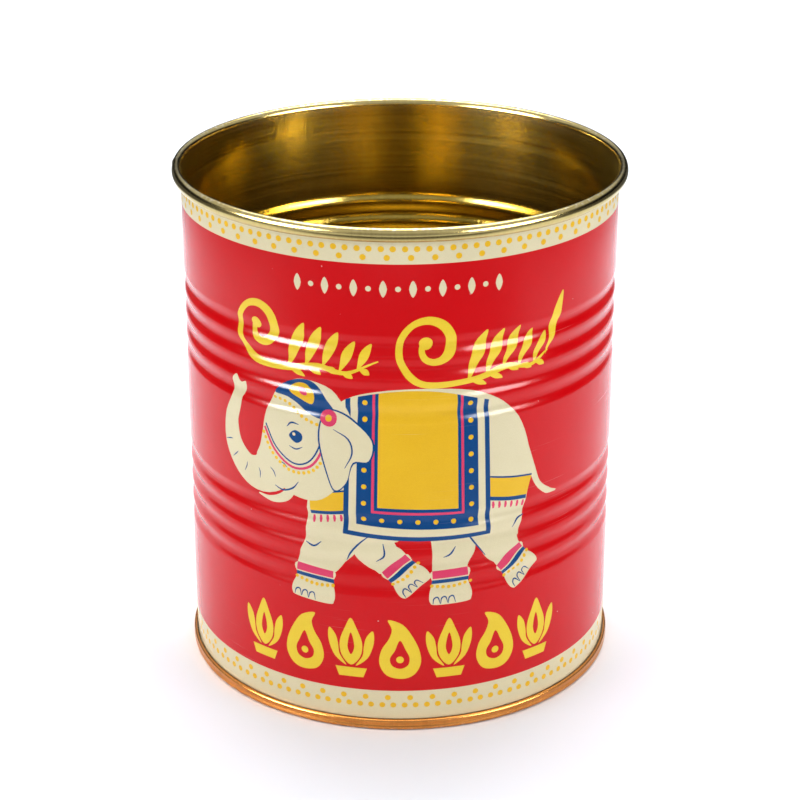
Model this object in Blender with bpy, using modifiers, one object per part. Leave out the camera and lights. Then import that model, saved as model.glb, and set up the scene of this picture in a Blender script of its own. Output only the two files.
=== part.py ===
"""Open spice tin: a beaded tinplate can with a rolled rim and a seamed-on base.

Metres, +Z up. The origin is on the table, in the middle of the base.
The printed front faces -Y and the side seam is at -X.
"""

import math

import bmesh
import bpy

# Driving dimensions
BODY_RADIUS = 0.0600
TIN_HEIGHT = 0.1445
SHEET = 0.00025
CLEARANCE = 0.0003

# Rolled rim: an oval curl, wider and taller than the sheet is thick
RIM_WIDTH = 0.0026
RIM_HEIGHT = 0.0037
RIM_FREE_EDGE_DEG = -120.0

# Strengthening beads: shallow grooves rolled into the wall, in two groups
BEAD_PITCH = 0.00635
BEAD_DEPTH = 0.0007
BEAD_GROOVES = 4
BEAD_GROUP_HEIGHTS = (0.10295, 0.0527)

# Double seam that joins the base to the wall
SEAM_HEIGHT = 0.0030
SEAM_RADIUS = 0.0612
SEAM_BEND = 0.0005
LIP_REACH = 0.00035
FLANGE_HEIGHT = 0.0016
FLANGE_BEND = 0.00035
COMPOUND_WIDTH = 0.0007
COMPOUND_HEIGHT = 0.00055

# Base panel, raised above the table inside the standing ring
PANEL_HEIGHT = 0.0034
PANEL_RING_RISE = 0.0006
PANEL_RINGS = ((0.0500, 0.0440), (0.0340, 0.0280))
RING_SLOPE = 0.0010
COUNTERSINK_HEIGHT = 0.0046
COUNTERSINK_BEND = 0.0007
CHUCK_TAPER = 0.0003

# Facets round the can, and along each bend
TURN_STEPS = 48
BEND_STEPS = 3
CURL_STEPS = 10

HALF_SHEET = SHEET / 2
WALL_MIDDLE = BODY_RADIUS - HALF_SHEET


def clear_scene():
    for old in list(bpy.data.objects):
        bpy.data.objects.remove(old, do_unlink=True)


def make_collection(name):
    group = bpy.data.collections.new(name)
    bpy.context.scene.collection.children.link(group)
    return group


def make_material(name, color, roughness, metallic):
    material = bpy.data.materials.new(name)
    material.use_nodes = True
    shader = material.node_tree.nodes["Principled BSDF"]
    shader.inputs["Base Color"].default_value = (*color, 1.0)
    shader.inputs["Roughness"].default_value = roughness
    shader.inputs["Metallic"].default_value = metallic
    return material


def bend(center_r, center_z, radius_r, radius_z, start, end, steps):
    """Points of an oval arc in the r-z plane, from the start angle to the end angle, in degrees."""
    points = []
    for step in range(steps + 1):
        angle = math.radians(start + (end - start) * step / steps)
        points.append((center_r + radius_r * math.cos(angle),
                       center_z + radius_z * math.sin(angle)))
    return points


def turn_profile(name, profile, closed, material, group):
    """Turn a list of (r, z) points once round Z into a ring or a dish."""
    mesh = bpy.data.meshes.new(name)
    outline = bmesh.new()
    corners = [outline.verts.new((r, 0.0, z)) for r, z in profile]
    for first, second in zip(corners, corners[1:]):
        outline.edges.new((first, second))
    if closed:
        outline.edges.new((corners[-1], corners[0]))
    outline.to_mesh(mesh)
    outline.free()
    mesh.materials.append(material)
    piece = bpy.data.objects.new(name, mesh)
    group.objects.link(piece)
    turn = piece.modifiers.new("turn", 'SCREW')
    turn.axis = 'Z'
    turn.angle = math.tau
    turn.steps = TURN_STEPS
    turn.render_steps = TURN_STEPS
    turn.use_merge_vertices = True
    turn.merge_threshold = 0.000001
    turn.use_smooth_shade = True
    return piece


def add_sheet_thickness(piece):
    wall = piece.modifiers.new("sheet", 'SOLIDIFY')
    wall.thickness = SHEET
    wall.offset = 0.0
    wall.use_even_offset = True


def rim_curl():
    """The rolled rim, from its free edge underneath, over the top, to the inside of the wall."""
    reach_r = (RIM_WIDTH - SHEET) / 2
    reach_z = (RIM_HEIGHT - SHEET) / 2
    center_z = TIN_HEIGHT - HALF_SHEET - reach_z
    return bend(WALL_MIDDLE + reach_r, center_z, reach_r, reach_z,
                RIM_FREE_EDGE_DEG, 180.0, CURL_STEPS)


def bead_group(middle):
    """Ridges and grooves of one group of beads, from its top edge down."""
    points = []
    for step in range(2 * BEAD_GROOVES + 1):
        depth = BEAD_DEPTH if step % 2 else 0.0
        points.append((WALL_MIDDLE - depth, middle + (BEAD_GROOVES - step) * BEAD_PITCH / 2))
    return points


def wall_flange():
    """The wall's lower edge, bent outwards so that the base can hook round it."""
    edge = SEAM_RADIUS - SHEET - CLEARANCE
    points = bend(WALL_MIDDLE + FLANGE_BEND, FLANGE_HEIGHT + FLANGE_BEND, FLANGE_BEND, FLANGE_BEND,
                  180.0, 270.0, BEND_STEPS)
    points.append((edge, FLANGE_HEIGHT))
    return points


def make_body_shell(group):
    tinplate = make_material("printed_tinplate", (0.62, 0.006, 0.012), 0.28, 0.0)
    profile = rim_curl()
    for middle in BEAD_GROUP_HEIGHTS:
        profile += bead_group(middle)
    profile += wall_flange()
    add_sheet_thickness(turn_profile("body_shell", profile, False, tinplate, group))


def panel_ring(outer, inner):
    """One raised ring pressed into the base panel, from its inner foot to its outer foot."""
    top = PANEL_HEIGHT + PANEL_RING_RISE
    return [(inner - RING_SLOPE, PANEL_HEIGHT), (inner, top),
            (outer, top), (outer + RING_SLOPE, PANEL_HEIGHT)]


def countersink(chuck_r):
    """The pressed ridge that joins the panel to the upright chuck wall."""
    center_r = chuck_r - COUNTERSINK_BEND
    center_z = COUNTERSINK_HEIGHT - COUNTERSINK_BEND
    foot = (center_r - COUNTERSINK_BEND, PANEL_HEIGHT)
    return [foot] + bend(center_r, center_z, COUNTERSINK_BEND, COUNTERSINK_BEND, 180.0, 0.0, 2 * BEND_STEPS)


def seam_fold(chuck_r):
    """The base's edge, folded under the wall's flange, up round it and in over it."""
    outer = SEAM_RADIUS - HALF_SHEET
    top = SEAM_HEIGHT - HALF_SHEET
    foot_z = HALF_SHEET + SEAM_BEND
    points = bend(chuck_r + SEAM_BEND, foot_z, SEAM_BEND, SEAM_BEND, 180.0, 270.0, BEND_STEPS)
    points += bend(outer - SEAM_BEND, foot_z, SEAM_BEND, SEAM_BEND, 270.0, 360.0, BEND_STEPS)
    points += bend(outer - SEAM_BEND, top - SEAM_BEND, SEAM_BEND, SEAM_BEND, 0.0, 90.0, BEND_STEPS)
    points.append((BODY_RADIUS + LIP_REACH, top))
    return points


def make_base_end(group):
    lacquer = make_material("copper_lacquer", (0.60, 0.26, 0.07), 0.30, 1.0)
    chuck_r = BODY_RADIUS - SHEET - CLEARANCE - HALF_SHEET
    profile = [(0.0, PANEL_HEIGHT)]
    for outer, inner in reversed(PANEL_RINGS):
        profile += panel_ring(outer, inner)
    profile += countersink(chuck_r - CHUCK_TAPER)
    profile += seam_fold(chuck_r)
    add_sheet_thickness(turn_profile("base_end", profile, False, lacquer, group))


def make_seam_compound(group):
    """The soft sealing ring that lies in the base's fold, under the wall's flange."""
    rubber = make_material("sealing_compound", (0.30, 0.30, 0.28), 0.80, 0.0)
    outer = SEAM_RADIUS - SHEET - CLEARANCE
    inner = outer - COMPOUND_WIDTH
    top = FLANGE_HEIGHT - HALF_SHEET - CLEARANCE
    bottom = top - COMPOUND_HEIGHT
    profile = [(outer, top), (outer, bottom), (inner, bottom), (inner, top)]
    turn_profile("seam_compound", profile, True, rubber, group)


def build_spice_tin():
    clear_scene()
    group = make_collection("spice_tin")
    make_body_shell(group)
    make_base_end(group)
    make_seam_compound(group)


build_spice_tin()
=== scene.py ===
import math
from functools import reduce

import bmesh
import bpy
from mathutils import Matrix, Vector, geometry


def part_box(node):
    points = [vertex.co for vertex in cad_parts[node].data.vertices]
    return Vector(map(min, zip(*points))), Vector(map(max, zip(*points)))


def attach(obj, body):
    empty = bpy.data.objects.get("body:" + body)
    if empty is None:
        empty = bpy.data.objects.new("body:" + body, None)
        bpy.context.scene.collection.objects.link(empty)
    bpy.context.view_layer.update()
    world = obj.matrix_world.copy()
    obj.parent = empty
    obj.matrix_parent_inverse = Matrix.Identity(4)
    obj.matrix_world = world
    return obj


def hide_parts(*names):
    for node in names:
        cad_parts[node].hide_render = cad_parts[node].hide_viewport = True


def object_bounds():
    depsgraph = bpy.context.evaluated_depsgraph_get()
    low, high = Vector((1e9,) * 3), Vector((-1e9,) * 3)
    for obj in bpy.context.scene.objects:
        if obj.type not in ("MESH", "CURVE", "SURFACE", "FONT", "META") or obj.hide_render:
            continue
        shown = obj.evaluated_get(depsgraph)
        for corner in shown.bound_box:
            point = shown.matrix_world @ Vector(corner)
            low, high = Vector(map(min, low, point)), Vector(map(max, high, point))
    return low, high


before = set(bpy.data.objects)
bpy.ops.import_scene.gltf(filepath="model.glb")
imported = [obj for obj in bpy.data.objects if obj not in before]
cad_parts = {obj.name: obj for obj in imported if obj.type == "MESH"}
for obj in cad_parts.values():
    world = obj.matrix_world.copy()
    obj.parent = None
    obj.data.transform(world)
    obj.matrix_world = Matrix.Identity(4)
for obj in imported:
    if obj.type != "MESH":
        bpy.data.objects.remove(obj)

# Open spice tin: printed tinplate rolled into a can, beaded, with a curled rim and a seamed-on base.
# Metres, +Z up; the printed front faces -Y and the side seam is at -X.

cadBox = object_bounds()
scene = bpy.context.scene
mm = 0.001
tiny = 1e-7                    # points closer than this are one point

tin = {
    "sheet": 0.00025,
    "clearance": 0.0003,       # between sheets that the makers press together
    "rimWidth": 0.0026,
    "rimHeight": 0.0037,
    "beadPitch": 0.00635,
    "beadDepth": 0.0007,
    "beadGrooves": 4,
    "beadRows": 16,            # rows of faces along one bead
    "upperBeads": 0.10295,     # height of the middle ridge of each group
    "lowerBeads": 0.0527,
    "turnSteps": 240,          # faces round the wall and the base
    "sharpAngle": 50,          # edges bent more than this stay sharp
}
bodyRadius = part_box("body_shell")[1].x - (tin["rimWidth"] - tin["sheet"])
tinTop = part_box("body_shell")[1].z
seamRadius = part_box("base_end")[1].x
halfSheet = tin["sheet"] / 2
halfGroup = tin["beadGrooves"] / 2 * tin["beadPitch"]
wallMiddle = bodyRadius - halfSheet
roundArc = math.tau * bodyRadius
seamArc = -roundArc / 4        # the side seam, a quarter turn left of the front


def beadInset(height):
    # how far the wall is rolled in at a height
    inset = 0.0
    for middle in (tin["upperBeads"], tin["lowerBeads"]):
        away = height - middle
        if abs(away) < halfGroup:
            inset += tin["beadDepth"] / 2 * (1 - math.cos(math.tau * away / tin["beadPitch"]))
    return inset


def beadSlope(height):
    slope = 0.0
    for middle in (tin["upperBeads"], tin["lowerBeads"]):
        away = height - middle
        if abs(away) < halfGroup:
            turn = math.tau / tin["beadPitch"]
            slope += tin["beadDepth"] / 2 * turn * math.sin(turn * away)
    return slope


def beadHeights(middle):
    steps = tin["beadGrooves"] * tin["beadRows"]
    return [middle - halfGroup + i * tin["beadPitch"] / tin["beadRows"] for i in range(steps + 1)]


# small tools for building node trees
def feed(tree, socket, value):
    # a socket is linked, anything else is set as the value
    if isinstance(value, bpy.types.NodeSocket):
        tree.links.new(value, socket)
    else:
        socket.default_value = value


def addNode(tree, kind, inputs=None, **settings):
    # inputs go by their socket's name or number
    node = tree.nodes.new(kind)
    for name, value in settings.items():
        setattr(node, name, value)
    for socket, value in (inputs or {}).items():
        feed(tree, node.inputs[socket], value)
    return node


def calc(tree, operation, *values):
    return addNode(tree, "ShaderNodeMath", dict(enumerate(values)), operation=operation).outputs[0]


def times(tree, *values):
    return reduce(lambda first, second: calc(tree, 'MULTIPLY', first, second), values)


def plus(tree, *values):
    return reduce(lambda first, second: calc(tree, 'ADD', first, second), values)


def parts(tree, vector):
    return addNode(tree, "ShaderNodeSeparateXYZ", {0: vector}).outputs


def fromAxis(tree, x, y):
    return calc(tree, 'SQRT', plus(tree, calc(tree, 'POWER', x, 2.0), calc(tree, 'POWER', y, 2.0)))


def onTin(tree, radius, turn, height):
    # the place at a radius, a turn from the front and a height
    x = times(tree, radius, calc(tree, 'SINE', turn))
    y = times(tree, radius, calc(tree, 'COSINE', turn), -1.0)
    return addNode(tree, "ShaderNodeCombineXYZ", {0: x, 1: y, 2: height}).outputs[0]


def makeInterface(tree, inputs, outputs):
    # a socket for each name, of its starting value's kind; gives back the group's own input and output
    kinds = {float: "Float", int: "Int", tuple: "Color"}
    for name, value in inputs.items():
        kind = kinds.get(type(value), value)
        socket = tree.interface.new_socket(name, in_out='INPUT', socket_type="NodeSocket" + kind)
        if kind != value:
            socket.default_value = value
    for name, kind in outputs.items():
        tree.interface.new_socket(name, in_out='OUTPUT', socket_type="NodeSocket" + kind)
    return addNode(tree, "NodeGroupInput").outputs, addNode(tree, "NodeGroupOutput").inputs


def setMaterial(tree, mesh, finish, selection=True):
    return addNode(tree, "GeometryNodeSetMaterial",
                   {"Geometry": mesh, "Selection": selection, "Material": finish}).outputs[0]


def runTree(piece, tree, values):
    # run a Geometry Nodes tree on a piece and keep the result as a plain mesh
    change = piece.modifiers.new(tree.name, 'NODES')
    change.node_group = tree
    ids = {s.name: s.identifier for s in tree.interface.items_tree if s.in_out == 'INPUT'}
    for name, value in values.items():
        change[ids[name]] = value
    graph = bpy.context.evaluated_depsgraph_get()
    made = bpy.data.meshes.new_from_object(piece.evaluated_get(graph))
    piece.modifiers.remove(change)
    old = piece.data
    piece.data = made
    bpy.data.meshes.remove(old)
    made.name = piece.name


def newPiece(name, points, faces=()):
    mesh = bpy.data.meshes.new(name)
    mesh.from_pydata(points, (), faces)
    piece = bpy.data.objects.new(name, mesh)
    scene.collection.objects.link(piece)
    return piece


# turning a sheet's cross-section round the tin's axis; Lap Top is the share of the seam's lap that lies level
def makeTurnTree():
    tree = bpy.data.node_groups.new("turnSheet", 'GeometryNodeTree')
    given, result = makeInterface(tree, {
        "Profile": "Geometry", "Turn Steps": tin["turnSteps"], "Seam Radius": bodyRadius,
        "Lap Step": 0.0, "Lap Width": 0.001, "Lap Top": 0.45, "Merge Distance": 0.000002,
        "Inside Finish": "Material", "Outside Finish": "Material"
    }, {"Mesh": "Geometry"})
    size = addNode(tree, "GeometryNodeAttributeDomainSize", {"Geometry": given["Profile"]}, component='MESH')
    rows = size.outputs["Point Count"]
    grid = addNode(tree, "GeometryNodeMeshGrid", {
        "Size X": 1.0, "Size Y": 1.0, "Vertices X": plus(tree, given["Turn Steps"], 1),
        "Vertices Y": rows})
    position = addNode(tree, "GeometryNodeInputPosition").outputs[0]
    flat = parts(tree, position)
    row = times(tree, plus(tree, flat["Y"], 0.5), calc(tree, 'SUBTRACT', rows, 1))
    turn = times(tree, plus(tree, flat["X"], 0.5), math.tau)

    # which side of the sheet each face is on, noted before the grid is bent
    side = addNode(tree, "GeometryNodeInputNamedAttribute", {"Name": "side"}, data_type='INT').outputs[0]
    sideAt = addNode(tree, "GeometryNodeSampleIndex", {
        "Geometry": given["Profile"], "Value": side, "Index": calc(tree, 'FLOOR', row)},
        data_type='INT', domain='POINT')
    note = addNode(tree, "GeometryNodeStoreNamedAttribute", {
        "Geometry": grid.outputs["Mesh"], "Name": "side", "Value": sideAt.outputs[0]},
        data_type='INT', domain='FACE')

    # radius and height from the profile, and the lap's small step at the side seam
    at = addNode(tree, "GeometryNodeSampleIndex", {
        "Geometry": given["Profile"], "Value": position, "Index": calc(tree, 'ROUND', row)},
        data_type='FLOAT_VECTOR', domain='POINT')
    section = parts(tree, at.outputs[0])
    away = times(tree, calc(tree, 'SUBTRACT', turn, 0.75 * math.tau), given["Seam Radius"])
    lap = ramp(tree, calc(tree, 'ABSOLUTE', away), given["Lap Width"],
               times(tree, given["Lap Width"], given["Lap Top"]))
    radius = plus(tree, section["X"], times(tree, lap, given["Lap Step"]))
    bend = addNode(tree, "GeometryNodeSetPosition", {
        "Geometry": note.outputs[0], "Position": onTin(tree, radius, turn, section["Z"])})
    close = addNode(tree, "GeometryNodeMergeByDistance", {
        "Geometry": bend.outputs[0], "Distance": given["Merge Distance"]})
    real = addNode(tree, "GeometryNodeRealizeInstances", {"Geometry": close.outputs[0]})
    inside = setMaterial(tree, real.outputs[0], given["Inside Finish"])
    feed(tree, result["Mesh"], setMaterial(tree, inside, given["Outside Finish"], side))
    return tree


def arc(center, radii, start, end, steps):
    # points along an oval arc in the cross-section, angles in degrees
    angles = [math.radians(start + (end - start) * i / steps) for i in range(steps + 1)]
    return [Vector((center[0] + radii[0] * math.cos(a), center[1] + radii[1] * math.sin(a))) for a in angles]


def ease(angle):
    return 0.5 - 0.5 * math.cos(angle)


def sheetSection(middle, closed):
    # outline of a sheet that lies half its thickness to each side of the middle line
    clean = [middle[0]]
    for point in middle[1:]:
        if (point - clean[-1]).length > 10 * tiny:
            clean.append(point)
    outer, inner = [], []
    for i, point in enumerate(clean):
        before = (point - clean[i - 1]).normalized() if i else Vector((0, 0))
        after = (clean[i + 1] - point).normalized() if i < len(clean) - 1 else Vector((0, 0))
        along = (before + after).normalized()
        across = Vector((along.y, -along.x))
        even = max(0.6, (before if i else after).dot(along))    # keeps the thickness at a corner
        outer.append(point + across * halfSheet / even)
        inner.append(point - across * halfSheet / even)
    outline = outer + inner[::-1]
    sides = [1] * len(outer) + [0] * len(inner)
    if closed:
        outline.append(outline[0])
        sides.append(1)
    return outline, sides


def turnSheet(name, middle, closed, values):
    outline, sides = sheetSection(middle, closed)
    piece = newPiece(name, [(p.x, 0.0, p.y) for p in outline])
    side = piece.data.attributes.new("side", 'INT', 'POINT')
    side.data.foreach_set("value", sides)
    runTree(piece, turnTree, values)
    sheet = bmesh.new()
    sheet.from_mesh(piece.data)
    bmesh.ops.dissolve_degenerate(sheet, dist=tiny, edges=sheet.edges)
    if sheet.calc_volume(signed=True) < 0:
        bmesh.ops.reverse_faces(sheet, faces=sheet.faces)
    sheet.to_mesh(piece.data)
    sheet.free()
    piece.data.shade_smooth()
    piece.data.set_sharp_from_angle(angle=math.radians(tin["sharpAngle"]))
    return piece


# rolling a flat print or row of marks onto the wall
def makeRollTree():
    tree = bpy.data.node_groups.new("rollOntoTin", 'GeometryNodeTree')
    given, result = makeInterface(tree, {
        "Flat Sheet": "Geometry", "Radius": bodyRadius, "Bead Pitch": tin["beadPitch"],
        "Bead Depth": tin["beadDepth"], "Group Half Height": halfGroup,
        "Upper Beads": tin["upperBeads"], "Lower Beads": tin["lowerBeads"], "Ink": "Material"
    }, {"Mesh": "Geometry"})
    along, lift, height = parts(tree, addNode(tree, "GeometryNodeInputPosition").outputs[0])
    radius = plus(tree, given["Radius"], lift)
    for group in ("Upper Beads", "Lower Beads"):
        away = calc(tree, 'SUBTRACT', height, given[group])
        wave = calc(tree, 'COSINE', times(tree, calc(tree, 'DIVIDE', away, given["Bead Pitch"]), math.tau))
        depth = times(tree, calc(tree, 'SUBTRACT', 1.0, wave), times(tree, given["Bead Depth"], 0.5))
        within = calc(tree, 'LESS_THAN', calc(tree, 'ABSOLUTE', away), given["Group Half Height"])
        radius = calc(tree, 'SUBTRACT', radius, times(tree, depth, within))
    bend = addNode(tree, "GeometryNodeSetPosition", {
        "Geometry": given["Flat Sheet"],
        "Position": onTin(tree, radius, calc(tree, 'DIVIDE', along, given["Radius"]), height)})
    real = addNode(tree, "GeometryNodeRealizeInstances", {"Geometry": bend.outputs[0]})
    feed(tree, result["Mesh"], setMaterial(tree, real.outputs[0], given["Ink"]))
    return tree


def makeDotTree(rollTree):
    # a border of dots in threes: a pair, and one between them on the next line
    tree = bpy.data.node_groups.new("dotBorder", 'GeometryNodeTree')
    given, result = makeInterface(tree, {
        "Repeats": 61, "Start": 0.0, "Spacing": 0.006, "Pair Gap": 0.003,
        "Pair Height": 0.1386, "Single Height": 0.1363, "Dot Radius": 0.0008, "Dot Sides": 12,
        "Thickness": 0.00003, "Lift": 0.00003, "Ink": "Material"
    }, {"Mesh": "Geometry"})
    dot = addNode(tree, "GeometryNodeMeshCylinder", {
        "Vertices": given["Dot Sides"], "Radius": given["Dot Radius"], "Depth": given["Thickness"]})
    lay = addNode(tree, "GeometryNodeTransform", {
        "Geometry": dot.outputs["Mesh"], "Rotation": (math.pi / 2, 0.0, 0.0)})
    join = addNode(tree, "GeometryNodeJoinGeometry")
    halfGap = times(tree, given["Pair Gap"], 0.5)
    for height, shift in (("Pair Height", times(tree, halfGap, -1.0)), ("Pair Height", halfGap),
                          ("Single Height", 0.0)):
        start = addNode(tree, "ShaderNodeCombineXYZ", {
            0: plus(tree, given["Start"], shift), 1: given["Lift"], 2: given[height]})
        step = addNode(tree, "ShaderNodeCombineXYZ", {0: given["Spacing"]})
        line = addNode(tree, "GeometryNodeMeshLine", {
            "Count": given["Repeats"], "Start Location": start.outputs[0], "Offset": step.outputs[0]})
        put = addNode(tree, "GeometryNodeInstanceOnPoints", {
            "Points": line.outputs["Mesh"], "Instance": lay.outputs["Geometry"]})
        tree.links.new(put.outputs["Instances"], join.inputs[0])
    real = addNode(tree, "GeometryNodeRealizeInstances", {"Geometry": join.outputs[0]})
    roll = addNode(tree, "GeometryNodeGroup", node_tree=rollTree)
    feed(tree, roll.inputs["Flat Sheet"], real.outputs["Geometry"])
    feed(tree, result["Mesh"], setMaterial(tree, roll.outputs["Mesh"], given["Ink"]))
    return tree


# shared effects for the finishes
def ramp(tree, value, low, high):
    return addNode(tree, "ShaderNodeMapRange", {"Value": value, "From Min": low, "From Max": high},
                   interpolation_type='SMOOTHSTEP').outputs[0]


def noise(tree, where, scale, detail=2.0, roughness=0.5):
    return addNode(tree, "ShaderNodeTexNoise", {
        "Vector": where, "Scale": scale, "Detail": detail, "Roughness": roughness}).outputs[0]


def mixColor(tree, factor, first, second):
    return addNode(tree, "ShaderNodeMix", {0: factor, 6: first, 7: second}, data_type='RGBA').outputs[2]


def stretch(tree, where, amounts):
    return addNode(tree, "ShaderNodeVectorMath", {0: where, 1: amounts}, operation='MULTIPLY').outputs[0]


def sheetPlace(tree):
    # place on the unrolled sheet (along, up and through, cut open at the side seam), and the height
    x, y, z = parts(tree, addNode(tree, "ShaderNodeTexCoord").outputs["Object"])
    along = times(tree, calc(tree, 'ARCTAN2', y, x), bodyRadius)
    return addNode(tree, "ShaderNodeCombineXYZ", {0: along, 1: z, 2: fromAxis(tree, x, y)}).outputs[0], z


varnish = {                    # pattern scales per metre, and the noise levels between which they set in
    "screen": 4200.0,
    "screenLevels": (0.35, 0.65),
    "mottle": 60.0,
    "mottleLevels": (0.3, 0.7),
    "hairlines": (30.0, 3800.0, 1.0),
    "hairLevels": (0.70, 0.76),
    "rubbed": 38.0,            # patches where the hairlines are
    "rubbedLevels": (0.50, 0.66),
    "specks": 420.0,
    "speckLevels": (0.93, 0.94),
    "speckSize": 0.09,
    "scuffPaleness": 0.25,
    "scuffColor": (0.80, 0.72, 0.66, 1.0),
    "dustColor": (0.72, 0.70, 0.66, 1.0),
    "film": 26.0,              # slow change of gloss
    "filmDepth": 0.08,
    "dulling": 0.35,           # by scuffs and dust
    "peel": 520.0,
    "wave": 55.0,
    "waveHeight": 3.0,
    "scuffHeight": -0.6,
    "dustHeight": 1.5,
}


def makePrintGroup():
    # litho ink under varnish: screen grain, faint mottling, orange peel, hairline scuffs and dust
    tree = bpy.data.node_groups.new("printedVarnish", 'ShaderNodeTree')
    given, result = makeInterface(tree, {
        "Ink": (0.5, 0.5, 0.5, 1.0), "Shadow Ink": (0.4, 0.4, 0.4, 1.0), "Screen Grain": 0.35,
        "Mottling": 0.30, "Gloss": 0.24, "Scuffs": 0.5, "Dust": 0.5
    }, {"Color": "Color", "Roughness": "Float", "Height": "Float"})
    sheet = sheetPlace(tree)[0]
    screen = ramp(tree, noise(tree, sheet, varnish["screen"], 1.0), *varnish["screenLevels"])
    cloud = ramp(tree, noise(tree, sheet, varnish["mottle"], 4.0, 0.6), *varnish["mottleLevels"])
    depth = plus(tree, times(tree, screen, given["Screen Grain"]), times(tree, cloud, given["Mottling"]))
    ink = mixColor(tree, depth, given["Ink"], given["Shadow Ink"])
    # hairlines from stacking and wiping run mostly round the can
    rub = noise(tree, stretch(tree, sheet, varnish["hairlines"]), 1.0, 1.0)
    patch = ramp(tree, noise(tree, sheet, varnish["rubbed"], 3.0), *varnish["rubbedLevels"])
    scuff = times(tree, ramp(tree, rub, *varnish["hairLevels"]), patch, given["Scuffs"])
    # a few of the cells hold a speck of dust, each of its own size
    speck = addNode(tree, "ShaderNodeTexVoronoi", {"Vector": sheet, "Scale": varnish["specks"]})
    pick = addNode(tree, "ShaderNodeSeparateColor", {0: speck.outputs["Color"]})
    rare = ramp(tree, pick.outputs[0], *varnish["speckLevels"])
    near = calc(tree, 'LESS_THAN', speck.outputs["Distance"],
                times(tree, pick.outputs[1], varnish["speckSize"]))
    dust = times(tree, rare, near, given["Dust"])
    worn = mixColor(tree, times(tree, scuff, varnish["scuffPaleness"]), ink, varnish["scuffColor"])
    feed(tree, result["Color"], mixColor(tree, dust, worn, varnish["dustColor"]))
    film = times(tree, noise(tree, sheet, varnish["film"], 3.0), varnish["filmDepth"])
    dull = times(tree, plus(tree, scuff, dust), varnish["dulling"])
    rough = plus(tree, given["Gloss"], film, dull)
    feed(tree, result["Roughness"], calc(tree, 'SUBTRACT', rough, varnish["filmDepth"] / 2))
    wave = times(tree, noise(tree, sheet, varnish["wave"], 1.0), varnish["waveHeight"])
    coat = plus(tree, noise(tree, sheet, varnish["peel"]), wave)
    marks = plus(tree, times(tree, scuff, varnish["scuffHeight"]), times(tree, dust, varnish["dustHeight"]))
    feed(tree, result["Height"], plus(tree, coat, marks))
    return tree


lacquer = {                    # pattern scales per metre, and the noise levels between which they set in
    "grain": (2600.0, 45.0, 600.0),
    "rings": (9.0, 1700.0, 1700.0),
    "cloud": 70.0,
    "levels": (0.3, 0.7),
    "chips": 900.0,
    "chipLevels": (0.50, 0.62),
    "ringGloss": 0.16,         # how far rings, wear, grain and waves change the gloss or the height
    "wearGloss": 0.15,
    "ringHeight": 0.7,
    "grainHeight": 0.5,
    "wave": 90.0,
    "waveHeight": 3.0,
}


def makeLacquerGroup():
    # clear tinted lacquer over rolled tinplate: rolling grain, cloudy tint, tooling rub marks, edge wear
    tree = bpy.data.node_groups.new("lacqueredTinplate", 'ShaderNodeTree')
    given, result = makeInterface(tree, {
        "Tint": (0.6, 0.4, 0.1, 1.0), "Deep Tint": (0.4, 0.2, 0.05, 1.0),
        "Bare Metal": (0.70, 0.66, 0.58, 1.0), "Grain": 0.4, "Cloud": 0.4, "Roughness": 0.22,
        "Wear": 0.5, "Wear From": 0.144, "Wear To": 0.1445, "Rim Paleness": 0.0, "Rim From": 0.1400,
        "Rim To": 0.1410
    }, {"Color": "Color", "Roughness": "Float", "Height": "Float"})
    sheet, up = sheetPlace(tree)
    grain = noise(tree, stretch(tree, sheet, lacquer["grain"]), 1.0, 3.0)
    ring = noise(tree, stretch(tree, sheet, lacquer["rings"]), 1.0)
    cloud = ramp(tree, noise(tree, sheet, lacquer["cloud"], 4.0, 0.6), *lacquer["levels"])
    depth = plus(tree, times(tree, ramp(tree, grain, *lacquer["levels"]), given["Grain"]),
                 times(tree, cloud, given["Cloud"]))
    tint = mixColor(tree, depth, given["Tint"], given["Deep Tint"])
    # the lacquer is thinner where the rim is curled, and chipped along the worn edge
    thin = times(tree, ramp(tree, up, given["Rim From"], given["Rim To"]), given["Rim Paleness"])
    tint = mixColor(tree, thin, tint, given["Bare Metal"])
    edge = ramp(tree, up, given["Wear From"], given["Wear To"])
    chips = ramp(tree, noise(tree, sheet, lacquer["chips"], 4.0, 0.65), *lacquer["chipLevels"])
    wear = times(tree, edge, chips, given["Wear"])
    feed(tree, result["Color"], mixColor(tree, wear, tint, given["Bare Metal"]))
    marks = times(tree, calc(tree, 'SUBTRACT', ring, 0.5), lacquer["ringGloss"])
    rough = plus(tree, given["Roughness"], marks)
    feed(tree, result["Roughness"], plus(tree, rough, times(tree, wear, lacquer["wearGloss"])))
    wave = times(tree, noise(tree, sheet, lacquer["wave"]), lacquer["waveHeight"])
    fine = plus(tree, times(tree, grain, lacquer["grainHeight"]), wave)
    feed(tree, result["Height"], plus(tree, times(tree, ring, lacquer["ringHeight"]), fine))
    return tree


def makeFinish(name, group, values, bumpDistance, shaderValues):
    finish = bpy.data.materials.new(name)
    finish.use_nodes = True
    tree = finish.node_tree
    shader = tree.nodes["Principled BSDF"]
    effect = addNode(tree, "ShaderNodeGroup", node_tree=group)
    for socket, value in values.items():
        feed(tree, effect.inputs[socket], value)
    bump = addNode(tree, "ShaderNodeBump", {
        "Strength": 1.0, "Distance": bumpDistance, "Height": effect.outputs["Height"]})
    feed(tree, shader.inputs["Base Color"], effect.outputs["Color"])
    feed(tree, shader.inputs["Roughness"], effect.outputs["Roughness"])
    feed(tree, shader.inputs["Normal"], bump.outputs["Normal"])
    for socket, value in shaderValues.items():
        shader.inputs[socket].default_value = value
    return finish


printGroup = makePrintGroup()
lacquerGroup = makeLacquerGroup()

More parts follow.
